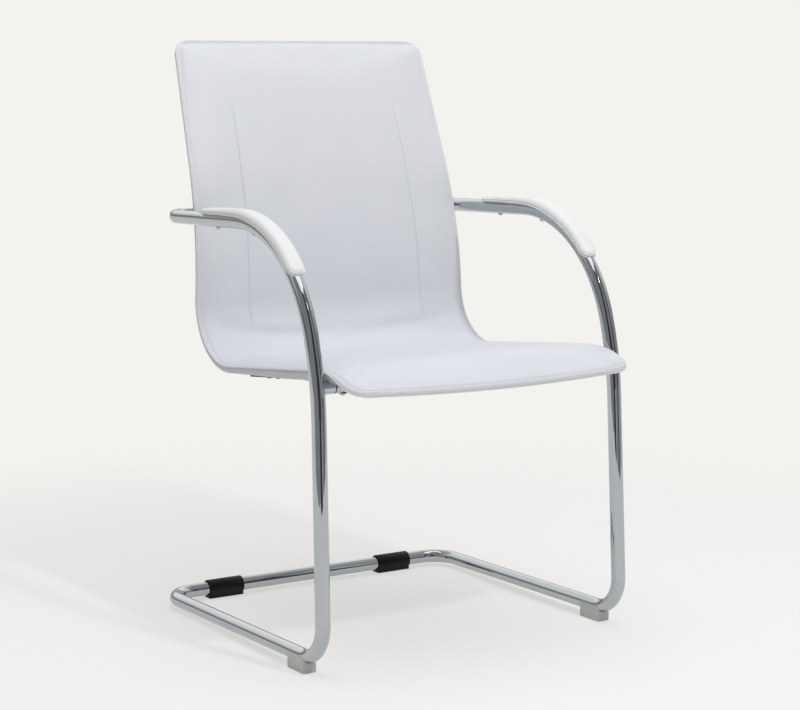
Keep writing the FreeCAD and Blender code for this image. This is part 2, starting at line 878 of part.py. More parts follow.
def pad_layer(outline):
    wires = [section(pad_path.at(run), outline(half)) for run, half in pad_stations()]
    body = Part.makeLoft(wires, True, False).translated(side_pivot)
    return body.rotated(side_pivot, side_turn.Axis, math.degrees(side_turn.Angle))


def pad_screw_frames():
    """Seat point under the arm tube and direction up through it, for each screw of the left pad."""
    frames = []
    for place in pad_screw_places:
        station = pad_path.at(pad_path.length - place)
        seat = leaned(placed(station, half_spacing, -tube_radius - slip_fit))
        frames.append((seat, side_turn.multVec(Vector(0, station[2], station[3]))))
    return frames


def pad_screws():
    grip = tube_diameter + slip_fit + pad_screw_grip
    result = []
    for seat, up in pad_screw_frames():
        screw = bolt(seat, up, pad_screw_diameter, grip, pad_screw_head, pad_screw_head_height)
        result += both_sides(screw)
    return result


def pad_base():
    body = pad_layer(pad_base_outline)
    for seat, up in pad_screw_frames():
        reach = tube_diameter + pad_screw_grip + 2 * slip_fit
        body = body.cut(drill(seat, up, pad_screw_diameter + 2 * slip_fit, reach))
    return body


# Arm tubes: leg, sweeps, arm and half of the crossbar, drilled for the pads and the back

def arm_tube():
    body = tube(upper_path, tube_radius, tube_wall)
    for seat, up in pad_screw_frames():
        body = body.cut(drill(seat, up, pad_screw_diameter + 2 * hole_clearance, 2 * tube_diameter))
    return body.cut(drill(back_bolt_seat, back_front, bolt_hole, tube_diameter + tube_radius))


leg_solid = pipe(upper_path, tube_radius + slip_fit)
save_pair("arm_tube", arm_tube())
save_pair("cross_stub", cross_stub(leg_solid))
save("stub_rings", *both_sides(stub_ring()))
save("front_cross_tube", cross_tube())
save_pair("seat_bar", seat_bar())
save("seat_bar_screws", *seat_screws())
save("cross_tube_nuts", *both_sides(cross_nut))
save("back_spacers", *both_sides(back_spacer()))
save("back_nuts", *both_sides(back_nut))
save_pair("pad_base", pad_base())
save_pair("pad_foam", pad_layer(pad_foam_outline))
save_pair("pad_cover", pad_layer(pad_cover_outline))
save("pad_screws", *pad_screws())


# Shell layers, drilled and recessed for their fixings

def shell_fixings(diameter_over):
    """Drills for everything that passes through the rear of the shell, with a clearance on each."""
    drills = []
    drills += both_sides(drill(cross_nut_face, cross_up, bolt_diameter + diameter_over, 2 * back_depth))
    drills += both_sides(drill(back_nut_face, back_front, bolt_diameter + diameter_over, 2 * back_depth))
    reach = bar_bottom - core_depth - core_thickness + seat_screw_grip + slip_fit
    for screw_seat in seat_screw_seats:
        drills += both_sides(drill(screw_seat, seat_up, seat_screw_diameter + diameter_over, reach))
    return drills


def shell_core():
    body = shell_layer(core_outline, core_inset)
    for hole in shell_fixings(2 * slip_fit):
        body = body.cut(hole)
    for pocket in both_sides(tee_nut_pocket(cross_nut_face, cross_up)):
        body = body.cut(pocket)
    for pocket in both_sides(tee_nut_pocket(back_nut_face, back_front)):
        body = body.cut(pocket)
    return body


def back_cover():
    body = shell_layer(back_block_outline, 0.0).cut(shell_layer(back_hollow_outline, cover_thickness))
    for hole in shell_fixings(2 * hole_clearance):
        body = body.cut(hole)
    return body


save("cross_tube_bolts", *both_sides(cross_bolt))
save("back_bolts", *both_sides(back_bolt))
save("shell_core", shell_core())
save("shell_foam", shell_layer(foam_outline, cover_thickness + 2 * layer_gap))
save("front_cover", shell_layer(front_block_outline, 0.0).cut(shell_layer(front_hollow_outline, cover_thickness)))
save("back_cover", back_cover())
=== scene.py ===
import math

import bmesh
import bpy
import numpy as np
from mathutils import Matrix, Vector


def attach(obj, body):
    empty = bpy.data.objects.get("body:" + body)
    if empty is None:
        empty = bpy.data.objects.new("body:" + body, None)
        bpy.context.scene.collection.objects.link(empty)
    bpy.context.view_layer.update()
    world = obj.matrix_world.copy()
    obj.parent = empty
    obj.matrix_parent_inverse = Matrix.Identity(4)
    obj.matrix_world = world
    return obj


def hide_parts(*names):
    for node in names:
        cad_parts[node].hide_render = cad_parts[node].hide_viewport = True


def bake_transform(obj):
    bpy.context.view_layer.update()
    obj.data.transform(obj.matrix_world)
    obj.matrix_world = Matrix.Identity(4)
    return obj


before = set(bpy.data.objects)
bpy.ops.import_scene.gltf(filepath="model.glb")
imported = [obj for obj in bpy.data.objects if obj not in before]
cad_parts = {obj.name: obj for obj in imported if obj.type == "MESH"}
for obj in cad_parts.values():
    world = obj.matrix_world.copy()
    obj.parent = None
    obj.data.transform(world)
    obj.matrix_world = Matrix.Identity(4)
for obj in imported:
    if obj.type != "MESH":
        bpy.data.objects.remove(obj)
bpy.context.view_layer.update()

scene = bpy.context.scene


# Frame: one loop of round steel tube, 22 mm thick, bent cold and butt-welded in its two rear bars.
# It is polished and plated with bright chromium, so it mirrors the room and hardly shows its own colour.
# The legs are the springs of the chair.

mm = 0.001
tube_radius = 11 * mm
# Corners of the left half of the loop in millimetres, each with the radius of its bend.
tube_corners = (
    ((0, 264.7, 15.5), 0),
    ((266.04, 264.7, 15.5), 45),
    ((265.96, -234.8, 22.5), 55),
    ((261.73, -216.42, 427.31), 450),
    ((259.51, -145.53, 639.17), 217),
    ((259.61, 246.53, 628.9), 30),
    ((0, 246.53, 628.9), 0),
)


def hex_linear(code):
    """Linear colour of an sRGB hex code."""
    parts = [int(code[i:i + 2], 16) / 255 for i in (1, 3, 5)]
    return [c / 12.92 if c <= 0.04045 else ((c + 0.055) / 1.055) ** 2.4 for c in parts] + [1.0]


def add_node(tree, kind, settings=(), inputs=()):
    """A node with its settings, and its inputs set to a value or linked to a socket."""
    made = tree.nodes.new(kind)
    for key, value in dict(settings).items():
        setattr(made, key, value)
    for key, value in dict(inputs).items():
        if isinstance(value, bpy.types.NodeSocket):
            tree.links.new(value, made.inputs[key])
        else:
            made.inputs[key].default_value = value
    return made


def new_material(name):
    material = bpy.data.materials.new(name)
    material.use_nodes = True
    material.node_tree.nodes.clear()
    return material, material.node_tree


def new_piece(name, points, faces, material):
    mesh = bpy.data.meshes.new(name)
    mesh.from_pydata([tuple(p) for p in points], [], faces)
    mesh.materials.append(material)
    mesh.shade_smooth()
    made = bpy.data.objects.new(name, mesh)
    scene.collection.objects.link(made)
    return made


def rounded_route(corners, step):
    """Points along straight runs and tangent bends, no further apart than a step."""
    bend_step = math.radians(4)
    places = [Vector(place) * mm for place, radius in corners]
    radii = [radius * mm for place, radius in corners]
    points = [places[0]]

    def run_to(target):
        here = points[-1]
        gap = target - here
        if gap.length < mm:
            return
        count = math.ceil(gap.length / step)
        points.extend([here + gap * ((i + 1) / count) for i in range(count)])

    for before, corner, after, radius in zip(places, places[1:], places[2:], radii[1:]):
        to_before = (before - corner).normalized()
        to_after = (after - corner).normalized()
        turn = math.pi - to_before.angle(to_after)
        reach = radius * math.tan(turn / 2)
        centre = corner + (to_before + to_after).normalized() * (radius / math.cos(turn / 2))
        start = corner + to_before * reach
        run_to(start)
        across = start - centre
        axis = across.cross(-to_before).normalized()
        count = max(2, math.ceil(turn / bend_step))
        for i in range(count):
            angle = turn * (i + 1) / count
            points.append(centre + across * math.cos(angle) + axis.cross(across) * math.sin(angle))
    run_to(places[-1])
    return points


def bead(name, points, radius, sides, material):
    """Closed round bead along a loop of points, as a plain mesh."""
    curve = bpy.data.curves.new(name, "CURVE")
    curve.dimensions = "3D"
    curve.bevel_depth = radius
    # A round bevel has twice as many sides as its resolution and two.
    curve.bevel_resolution = sides // 2 - 2
    spline = curve.splines.new("POLY")
    spline.points.add(len(points) - 1)
    for target, point in zip(spline.points, points):
        target.co = (*point, 1)
    spline.use_cyclic_u = True
    holder = bpy.data.objects.new(name + "_line", curve)
    mesh = bpy.data.meshes.new_from_object(holder)
    bpy.data.objects.remove(holder)
    mesh.name = name
    mesh.materials.clear()
    mesh.materials.append(material)
    mesh.shade_smooth()
    made = bpy.data.objects.new(name, mesh)
    scene.collection.objects.link(made)
    return made


# Bright chromium plate on polished steel: a near mirror, with faint polishing haze and a slight ripple.
chrome, tree = new_material("chromium_plate")
place = add_node(tree, "ShaderNodeTexCoord")
haze = add_node(tree, "ShaderNodeTexNoise", inputs={
    "Vector": place.outputs["Object"], "Scale": 1 / (18 * mm), "Detail": 3.0})
gloss = add_node(tree, "ShaderNodeMapRange", inputs={
    "Value": haze.outputs["Fac"], "From Min": 0.3, "From Max": 0.7, "To Min": 0.02, "To Max": 0.055})
ripple = add_node(tree, "ShaderNodeTexNoise", inputs={
    "Vector": place.outputs["Object"], "Scale": 1 / (45 * mm)})
wave = add_node(tree, "ShaderNodeBump", inputs={
    "Height": ripple.outputs["Fac"], "Strength": 0.25, "Distance": 0.4 * mm})
surface = add_node(tree, "ShaderNodeBsdfPrincipled", inputs={
    "Base Color": hex_linear("#b6babe"), "Metallic": 1.0, "Roughness": gloss.outputs["Result"],
    "Normal": wave.outputs["Normal"]})
add_node(tree, "ShaderNodeOutputMaterial", inputs={"Surface": surface.outputs["BSDF"]})

left_half = rounded_route(tube_corners, 12 * mm)
right_half = [Vector((-p.x, p.y, p.z)) for p in reversed(left_half[1:-1])]
frame_tube = bead("frame_tube", left_half + right_half, tube_radius, 32, chrome)
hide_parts("left_floor_tube", "right_floor_tube", "left_arm_tube", "right_arm_tube")
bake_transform(frame_tube)


# Front feet: grey moulded blocks that sit under the floor rails, each held by a pin pushed up into the tube.
# The plastic is a plain nylon with the fine matt skin that a spark-eroded mould gives it.

nylon_in_grey_painted_lighter, tree = new_material("moulded_nylon_in_grey_painted_lighter")
place = add_node(tree, "ShaderNodeTexCoord")
grain = add_node(tree, "ShaderNodeTexNoise", inputs={
    "Vector": place.outputs["Object"], "Scale": 1 / (0.8 * mm), "Detail": 2.0})
shade = add_node(tree, "ShaderNodeTexNoise", inputs={
    "Vector": place.outputs["Object"], "Scale": 1 / (14 * mm)})
# Both tints are painted light: they are far lighter than the nylon's own grey, and they brighten the feet as
# more light low by the floor would.
tint = add_node(tree, "ShaderNodeMix", {"data_type": "RGBA"}, {
    "Factor": shade.outputs["Fac"], 6: hex_linear("#e2e3dc"), 7: hex_linear("#e9eae3")})
skin = add_node(tree, "ShaderNodeBump", inputs={
    "Height": grain.outputs["Fac"], "Strength": 0.3, "Distance": 0.1 * mm})
surface = add_node(tree, "ShaderNodeBsdfPrincipled", inputs={
    "Base Color": tint.outputs[2], "Roughness": 0.52, "IOR": 1.53, "Normal": skin.outputs["Normal"]})
add_node(tree, "ShaderNodeOutputMaterial", inputs={"Surface": surface.outputs["BSDF"]})


def eased_copy(node, name, material, body, width):
    """A solid of the frame with its sharp edges eased, as a moulded or ground piece has them."""
    same_point = 0.002 * mm
    same_plane, sharp = math.radians(0.5), math.radians(50)
    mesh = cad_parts[node].data.copy()
    mesh.name = name
    work = bmesh.new()
    work.from_mesh(mesh)
    bmesh.ops.remove_doubles(work, verts=work.verts, dist=same_point)
    bmesh.ops.dissolve_limit(work, angle_limit=same_plane, verts=work.verts, edges=work.edges)
    work.to_mesh(mesh)
    work.free()
    mesh.materials.clear()
    mesh.materials.append(material)
    mesh.shade_smooth()
    made = bpy.data.objects.new(name, mesh)
    scene.collection.objects.link(made)
    easing = made.modifiers.new("eased edges", "BEVEL")
    easing.width = width
    easing.segments = 3
    easing.limit_method = "ANGLE"
    easing.angle_limit = sharp
    easing.harden_normals = True
    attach(made, body)
    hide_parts(node)


for side in ("left", "right"):
    eased_copy(side + "_front_foot", side + "_grey_foot", nylon_in_grey_painted_lighter, "base", 1.2 * mm)


# Rear glides: black sleeves slit along one side and snapped over the rear floor bar.
# Soft black polyethylene, slightly shiny where it was moulded and dull where it has slid on floors.

black_sleeve, tree = new_material("moulded_black_polyethylene")
place = add_node(tree, "ShaderNodeTexCoord")
scuff = add_node(tree, "ShaderNodeTexNoise", inputs={
    "Vector": place.outputs["Object"], "Scale": 1 / (6 * mm), "Detail": 4.0})
gloss = add_node(tree, "ShaderNodeMapRange", inputs={
    "Value": scuff.outputs["Fac"], "To Min": 0.45, "To Max": 0.65})
skin = add_node(tree, "ShaderNodeBump", inputs={
    "Height": scuff.outputs["Fac"], "Strength": 0.2, "Distance": 0.15 * mm})
surface = add_node(tree, "ShaderNodeBsdfPrincipled", inputs={
    "Base Color": hex_linear("#060607"), "Roughness": gloss.outputs["Result"], "IOR": 1.35,
    "Normal": skin.outputs["Normal"]})
add_node(tree, "ShaderNodeOutputMaterial", inputs={"Surface": surface.outputs["BSDF"]})

for side in ("left", "right"):
    eased_copy(side + "_rear_glide", side + "_black_glide", black_sleeve, "base", 0.8 * mm)


# Front cross tube with its welded stubs: bright plated tube between the legs, under the nose of the seat.
# It is plugged over the stubs' spigots, with a bolt up into the seat and a black ring in each joint: painted
# shade for the shadowed gap there.


def paint(node, material):
    """Gives a solid of the frame its material."""
    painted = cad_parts[node].data.materials
    painted.clear()
    painted.append(material)


for node in ("left_cross_stub", "right_cross_stub", "front_cross_tube"):
    paint(node, chrome)
# The rings take the black plastic as painted shade for the shadowed gap in each joint.
paint("stub_rings", black_sleeve)


# Seat bars: two flat steel bars that run back from the cross tube under the seat, each with three screws.
# Hot-rolled bar, powder-coated black: a dull skin with a fine orange-peel texture.

black_powder, tree = new_material("black_powder_coat")
place = add_node(tree, "ShaderNodeTexCoord")
peel = add_node(tree, "ShaderNodeTexNoise", inputs={
    "Vector": place.outputs["Object"], "Scale": 1 / (1.4 * mm), "Detail": 2.0})
skin = add_node(tree, "ShaderNodeBump", inputs={
    "Height": peel.outputs["Fac"], "Strength": 0.35, "Distance": 0.12 * mm})
gloss = add_node(tree, "ShaderNodeMapRange", inputs={
    "Value": peel.outputs["Fac"], "To Min": 0.42, "To Max": 0.56})
surface = add_node(tree, "ShaderNodeBsdfPrincipled", inputs={
    "Base Color": hex_linear("#17171a"), "Roughness": gloss.outputs["Result"], "IOR": 1.5,
    "Normal": skin.outputs["Normal"]})
add_node(tree, "ShaderNodeOutputMaterial", inputs={"Surface": surface.outputs["BSDF"]})

for side in ("left", "right"):
    eased_copy(side + "_seat_bar", side + "_black_bar", black_powder, "upper", 0.6 * mm)


# Bolts, screws, tee nuts and spacers that hold the shell and the arm pads to the frame.
# Most are zinc-plated steel: bluish silver, a little cloudy, with roughness that changes over 3 mm.
# The dome screws are coated black like the bars that they hold, and the spacers are moulded black plastic.

zinc, tree = new_material("zinc_plated_steel")
place = add_node(tree, "ShaderNodeTexCoord")
cloud = add_node(tree, "ShaderNodeTexNoise", inputs={
    "Vector": place.outputs["Object"], "Scale": 1 / (3 * mm), "Detail": 3.0})
gloss = add_node(tree, "ShaderNodeMapRange", inputs={
    "Value": cloud.outputs["Fac"], "To Min": 0.22, "To Max": 0.42})
tint = add_node(tree, "ShaderNodeMix", {"data_type": "RGBA"}, {
    "Factor": cloud.outputs["Fac"], 6: hex_linear("#b3b7bd"), 7: hex_linear("#c9cbcc")})
surface = add_node(tree, "ShaderNodeBsdfPrincipled", inputs={
    "Base Color": tint.outputs[2], "Metallic": 1.0, "Roughness": gloss.outputs["Result"]})
add_node(tree, "ShaderNodeOutputMaterial", inputs={"Surface": surface.outputs["BSDF"]})

for node in ("cross_tube_bolts", "cross_tube_nuts", "back_bolts", "back_nuts", "pad_screws"):
    paint(node, zinc)
paint("seat_bar_screws", black_powder)
paint("back_spacers", black_sleeve)


# Shell core: one bent sheet of beech plywood, hidden between the covers, which carries the shell's fixings.
# Rotary-cut veneer: pale tan, with long soft figure across the chair.

beech_ply, tree = new_material("beech_plywood")
place = add_node(tree, "ShaderNodeTexCoord")
stretch = add_node(tree, "ShaderNodeMapping", inputs={
    "Vector": place.outputs["Object"], "Scale": (0.15, 1.0, 1.0)})
figure = add_node(tree, "ShaderNodeTexNoise", inputs={
    "Vector": stretch.outputs["Vector"], "Scale": 1 / (9 * mm), "Detail": 5.0})
tint = add_node(tree, "ShaderNodeMix", {"data_type": "RGBA"}, {
    "Factor": figure.outputs["Fac"], 6: hex_linear("#b98f63"), 7: hex_linear("#d9b98c")})
surface = add_node(tree, "ShaderNodeBsdfPrincipled", inputs={
    "Base Color": tint.outputs[2], "Roughness": 0.55})
add_node(tree, "ShaderNodeOutputMaterial", inputs={"Surface": surface.outputs["BSDF"]})
paint("shell_core", beech_ply)


# Padded front of the shell: foam glued to the plywood under one white leatherette cover, for seat and back.
# The cover is sewn down all round the edge, and two seams in the back draw it into shallow channels.
# The foam swells inside the sewn edge by cloth simulation, and the channels are drawn in after that.

white_leatherette, tree = new_material("white_pvc_leatherette")
# Vinyl on knitted cloth, embossed with a pebble grain of about 1 mm: a soft broad sheen and faint mottling.
place = add_node(tree, "ShaderNodeTexCoord")
pebble = add_node(tree, "ShaderNodeTexVoronoi", {"feature": "SMOOTH_F1"}, {
    "Vector": place.outputs["Object"], "Scale": 1 / (1.1 * mm), "Smoothness": 0.6})
mottle = add_node(tree, "ShaderNodeTexNoise", inputs={
    "Vector": place.outputs["Object"], "Scale": 1 / (60 * mm), "Detail": 4.0})
tint = add_node(tree, "ShaderNodeMix", {"data_type": "RGBA"}, {
    "Factor": mottle.outputs["Fac"], 6: hex_linear("#e1e3e8"), 7: hex_linear("#e6e8ec")})
gloss = add_node(tree, "ShaderNodeMapRange", inputs={
    "Value": mottle.outputs["Fac"], "To Min": 0.4, "To Max": 0.5})
crease = add_node(tree, "ShaderNodeTexNoise", inputs={
    "Vector": place.outputs["Object"], "Scale": 1 / (22 * mm), "Detail": 2.0})
slack = add_node(tree, "ShaderNodeBump", inputs={
    "Height": crease.outputs["Fac"], "Strength": 0.25, "Distance": 1.0 * mm})
skin = add_node(tree, "ShaderNodeBump", {"invert": True}, {
    "Height": pebble.outputs["Distance"], "Strength": 0.3, "Distance": 0.15 * mm,
    "Normal": slack.outputs["Normal"]})
surface = add_node(tree, "ShaderNodeBsdfPrincipled", inputs={
    "Base Color": tint.outputs[2], "Roughness": gloss.outputs["Result"], "IOR": 1.5,
    "Normal": skin.outputs["Normal"]})
add_node(tree, "ShaderNodeOutputMaterial", inputs={"Surface": surface.outputs["BSDF"]})

# The edge line of the shell in the side plane: its place and heading at the nose, then a radius and a turn
# in degrees for each bend, or nothing and a length for each straight run.
shell_start = (-295.75, 411.56, math.radians(33))
shell_bends = ((165, 38.7), (0, 271), (90, -95.7), (632, 19.5), (0, 186), (30, 40))
shell_length = sum(math.radians(abs(turn)) * radius if radius else turn for radius, turn in shell_bends)
seat_half, top_half = 248.0, 228.0
bend_start, bend_end = 382.4, 532.8


def shell_line(run):
    """Place and forward normal of the shell's edge line, at runs in millimetres from the front nose."""
    run = np.clip(np.asarray(run, float), 0, shell_length)
    y, z, heading = (np.full(run.shape, v) for v in shell_start)
    left = run.copy()
    for radius, turn in shell_bends:
        length = math.radians(abs(turn)) * radius if radius else turn
        step = np.clip(left, 0, length)
        if radius:
            bend = -math.copysign(1 / radius, turn)
            after = heading + bend * step
            y, z = y + (np.sin(after) - np.sin(heading)) / bend, z + (np.cos(heading) - np.cos(after)) / bend
            heading = after
        else:
            y, z = y + step * np.cos(heading), z + step * np.sin(heading)
        left = left - step
    return y, z, -np.sin(heading), np.cos(heading)


def shell_half(run):
    return seat_half + (top_half - seat_half) * np.clip((run - bend_end) / (shell_length - bend_end), 0, 1)


def on_shell(x, run, rise):
    """Points in metres at a width, a run along the shell and a rise in front of its edge line."""
    y, z, ny, nz = shell_line(run)
    return np.stack([x, y + rise * ny, z + rise * nz], -1) * mm


def ease(value):
    value = np.clip(value, 0, 1)
    return value * value * (3 - 2 * value)


# Insets of the grid's lines, close together where the cover rolls over the edge.
edge_steps = np.array([0, 0.25, 0.8, 1.7, 2.9, 4.3, 5.8, 7.3, 9.2, 12, 16, 21, 27, 33])
channel_share = 0.645


def spread(low, high, step):
    count = max(1, round((high - low) / step))
    return np.linspace(low, high, count + 1)[1:]


def shell_columns(step):
    """Shares of the half width, close together at the edges and along the channels."""
    channel = channel_share * seat_half
    near = np.array([-10, -6.5, -4, -2.2, -1, 0, 1, 2.2, 4, 6.5, 10]) + channel
    outside = spread(near[-1], seat_half - edge_steps[-1], step)
    middle = np.concatenate([[0], spread(0, near[0], step)])
    right = np.unique(np.concatenate([middle, near, outside, seat_half - edge_steps]).round(4))
    return np.concatenate([-right[:0:-1], right]) / seat_half


front_corner, top_corner, bow_radius = 32, 28, 2420
# The front cover stops this short of the top edge, and the difference fades out towards the corners.
top_short, top_fade = 6, 22


def shell_grid(step, top_short=0):
    """Widths and runs of a grid that fills the shell's outline, or stops short of its top edge."""
    share = shell_columns(step)
    x_front, x_top = np.abs(share) * seat_half, np.abs(share) * top_half
    over = np.clip(x_front - (seat_half - front_corner), 0, front_corner)
    low = bow_radius - np.sqrt(bow_radius ** 2 - np.minimum(x_front, seat_half - front_corner) ** 2)
    low = low + front_corner - np.sqrt(front_corner ** 2 - over ** 2)
    over = np.clip(x_top - (top_half - top_corner), 0, top_corner)
    high = shell_length - top_corner + np.sqrt(top_corner ** 2 - over ** 2)
    high = high - top_short * ease((top_half - x_top) / top_fade)
    between = spread(edge_steps[-1], shell_length - edge_steps[-1], step)
    rows = np.concatenate([edge_steps, between, shell_length - edge_steps[-2::-1]])
    along = (rows / shell_length)[:, None]
    run = low[None, :] + (high - low)[None, :] * along
    return share[None, :] * shell_half(run), run


def edge_distance(x, run):
    """Distance in millimetres from the shell's outline."""
    side = shell_half(run) - np.abs(x)
    flat = np.minimum(np.abs(x), seat_half - front_corner)
    front = run - (bow_radius - np.sqrt(bow_radius ** 2 - flat ** 2))
    top = shell_length - run

    def corner(a, b, radius):
        inside = radius - np.hypot(np.maximum(radius - a, 0), np.maximum(radius - b, 0))
        return np.where((a < radius) & (b < radius), inside, np.minimum(a, b))

    return np.maximum(np.minimum(corner(side, front, front_corner), corner(side, top, top_corner)), 0)


def closed_skin(outer, inner):
    """Points and faces of two grids that share their rim, as one closed form."""
    rows, columns = outer.shape[:2]
    index = np.arange(rows * columns).reshape(rows, columns)
    under = np.full((rows, columns), -1)
    under[1:-1, 1:-1] = np.arange((rows - 2) * (columns - 2)).reshape(rows - 2, columns - 2) + rows * columns
    under = np.where(under < 0, index, under)
    points = np.concatenate([outer.reshape(-1, 3), inner[1:-1, 1:-1].reshape(-1, 3)])
    faces = []
    for i in range(rows - 1):
        for j in range(columns - 1):
            faces.append((index[i, j], index[i, j + 1], index[i + 1, j + 1], index[i + 1, j]))
            faces.append((under[i, j], under[i + 1, j], under[i + 1, j + 1], under[i, j + 1]))
    return points, [tuple(int(k) for k in face) for face in faces]


def swell(piece, held, cap, pressure):
    """Inflates a closed skin like foam under a cover, but not its held points, and not beyond the cap."""
    last_frame = 20
    sewn = piece.vertex_groups.new(name="sewn")
    sewn.add([int(i) for i in np.flatnonzero(held)], 1.0, "REPLACE")
    before = np.array([v.co for v in piece.data.vertices])
    cloth = piece.modifiers.new("swell", "CLOTH")
    cloth.settings.quality = 6
    cloth.settings.mass = 0.25
    cloth.settings.tension_stiffness = 12
    cloth.settings.compression_stiffness = 12
    cloth.settings.bending_stiffness = 1.5
    cloth.settings.use_pressure = True
    cloth.settings.uniform_pressure_force = pressure
    cloth.settings.vertex_group_mass = "sewn"
    cloth.settings.effector_weights.gravity = 0
    cloth.collision_settings.use_collision = False
    cloth.point_cache.frame_start = 1
    cloth.point_cache.frame_end = last_frame
    for number in range(1, last_frame + 1):
        scene.frame_set(number)
    grown = piece.evaluated_get(bpy.context.evaluated_depsgraph_get()).data
    after = np.array([v.co for v in grown.vertices])
    piece.modifiers.remove(cloth)
    piece.vertex_groups.remove(sewn)
    move = after - before
    far = np.linalg.norm(move, axis=1, keepdims=True)
    soft = cap * np.tanh(far / cap)
    placed = before + move * (soft / np.maximum(far, 1e-9))
    piece.data.vertices.foreach_set("co", placed.ravel())
    scene.frame_set(1)


def crown(x, run):
    """Height of the foam under the cover before it swells, in millimetres over the edge line."""
    seat_peak, back_peak, end_peak, edge_height = 3.5, 2.0, 1.5, 0.6
    end_fade, flat_edge = 75, 8
    full = seat_peak + (back_peak - seat_peak) * ease((run - bend_start) / (bend_end - bend_start))
    ends = ease(run / end_fade) * ease((shell_length - run) / end_fade)
    peak = end_peak + (full - end_peak) * ends
    across = np.clip(1 - (x / (shell_half(run) - flat_edge)) ** 2, 0, 1)
    return edge_height + (peak - edge_height) * across


def nose_share(run):
    """1 along the front nose, where the white cover wraps down to the lower edge, and 0 behind it."""
    nose_end, nose_fade = 105, 75
    return ease((nose_end - run) / nose_fade)


def seam_level(run):
    """Height of the piped seam over the edge line, lower along the nose."""
    seam_drop, drop_at_nose = 1.5, 7.5
    return -seam_drop - drop_at_nose * nose_share(run)


stitch_inset = 6.5


def cover_rise(x, run):
    """Height of the cover, which rolls over the edge and is drawn in by its row of stitches."""
    drawn_depth, drawn_width = 1.2, 2.0
    pillow_height, pillow_start, pillow_width = 3.5, 5, 14
    inset = edge_distance(x, run)
    short = top_short * ease((top_half - np.abs(x)) / top_fade)
    inset = np.minimum(inset, np.maximum(shell_length - short - run, 0))
    fullness = 2 + 0.5 * nose_share(run)
    roll_width = 7 + 17 * nose_share(run)
    roll = (1 - (1 - np.clip(inset / roll_width, 0, 1)) ** fullness) ** (1 / fullness)
    drawn = drawn_depth * np.exp(-((inset - stitch_inset) / drawn_width) ** 2)
    pillow = pillow_height * (1 - np.exp(-np.maximum(inset - pillow_start, 0) / pillow_width))
    level = seam_level(run)
    return level + (crown(x, run) - level) * roll - drawn + pillow


seam_top = shell_length - 122


def channel_hold(run):
    """How firmly the channel seams hold the cover at a run: 1 where sewn, fading at both ends."""
    below_bend, lower_fade, upper_fade = 70, 60, 4
    return ease((run - bend_end + below_bend) / lower_fade) * ease((seam_top - run) / upper_fade)


def dent(across, along, width, height):
    """A round dent: 1 in its middle, fading over a width and a height."""
    return np.exp(-(across / width) ** 2 - (along / height) ** 2)


cover_step, held_edge, top_zone = 6.5, 7.5, 900
underside, least_skin, side_skin = -2.9, 0.6, 1.2
x, run = shell_grid(cover_step, top_short)
inset = edge_distance(x, run)
rise = cover_rise(x, run)
outer = on_shell(x, run, rise)
inner = on_shell(x * (1 - side_skin / seat_half), run, np.minimum(underside, rise - least_skin))
points, faces = closed_skin(outer, inner)
padding = new_piece("shell_padding", points, faces, white_leatherette)

held = np.ones(len(points), bool)
held[:x.size] = (inset < held_edge + top_short * (run > top_zone)).ravel()
swell(padding, held, cap=4.0 * mm, pressure=4.0)

# Each seam draws the cover into a narrow groove, and at its top end the cover puckers into a dimple
# with a shallow hollow outside and above it and a small swelling inside.
flat_x, flat_run = x.ravel(), run.ravel()
from_seam = (np.abs(flat_x / shell_half(flat_run)) - channel_share) * shell_half(flat_run)
groove = 1.1 * np.exp(-(from_seam / 1.3) ** 2) + 0.45 * np.exp(-(from_seam / 5) ** 2)
above = flat_run - seam_top
depth = groove * channel_hold(flat_run)
depth = depth + 2.0 * dent(from_seam, above, 3.0, 4.5)
depth = depth + 0.9 * dent(from_seam - 4, above - 5, 8, 7)
depth = depth - 0.5 * dent(from_seam + 8, above - 2, 6, 7)
y, z, ny, nz = shell_line(flat_run)
co = np.array([v.co for v in padding.data.vertices])
co[:x.size] -= (np.stack([np.zeros_like(ny), ny, nz], -1) * depth[:, None]) * mm
padding.data.vertices.foreach_set("co", co.ravel())
padding.data.update()
cover_points = co[:x.size].reshape(x.shape + (3,))
middle_row = len(x) // 2
column_shares = x[middle_row] / shell_half(run[middle_row])
seam_columns = [int(np.argmin(np.abs(column_shares - side * channel_share))) for side in (-1, 1)]
firmly_sewn = 0.25
seam_rows = [cover_points[channel_hold(run[:, column]) > firmly_sewn, column] for column in seam_columns]
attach(padding, "upper")
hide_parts("front_cover", "shell_foam")


# Rear panel of the shell: the same leatherette drawn round the back of the plywood and up its edge.
# Its leatherette is painted greyer than the front's, as painted shade for the rear and the edge that face
# away from the lights, and it meets the front cover at the piped seam.


def leatherette_in(name, darker, lighter):
    """The white leatherette in another colour."""
    made = white_leatherette.copy()
    made.name = name
    mix = next(n for n in made.node_tree.nodes if n.bl_idname == "ShaderNodeMix")
    mix.inputs[6].default_value = hex_linear(darker)
    mix.inputs[7].default_value = hex_linear(lighter)
    return made


# A greyer copy of the white leatherette: painted shade on the rear panel and its edge.
leatherette_painted_grey_as_shade = leatherette_in("white_pvc_leatherette_painted_grey_as_shade", "#d0d0d7", "#d6d6dc")

panel_step, panel_depth, edge_round, seam_gap = 9, 11.6, 4, 0.3
x, run = shell_grid(panel_step)
inset = edge_distance(x, run)
wall = np.sqrt(1 - (1 - np.clip(inset / edge_round, 0, 1)) ** 2)
upper_edge = seam_level(run) - seam_gap
# A hem stands down along the sides of the seat, in front of the seat bars.
hem_depth = 3.9
hem = hem_depth * ease((390 - run) / 200) * ease((run - 40) / 60) * (1 - ease((inset - 4.5) / 5))
outer = on_shell(x, run, upper_edge - (panel_depth + hem + upper_edge) * wall)
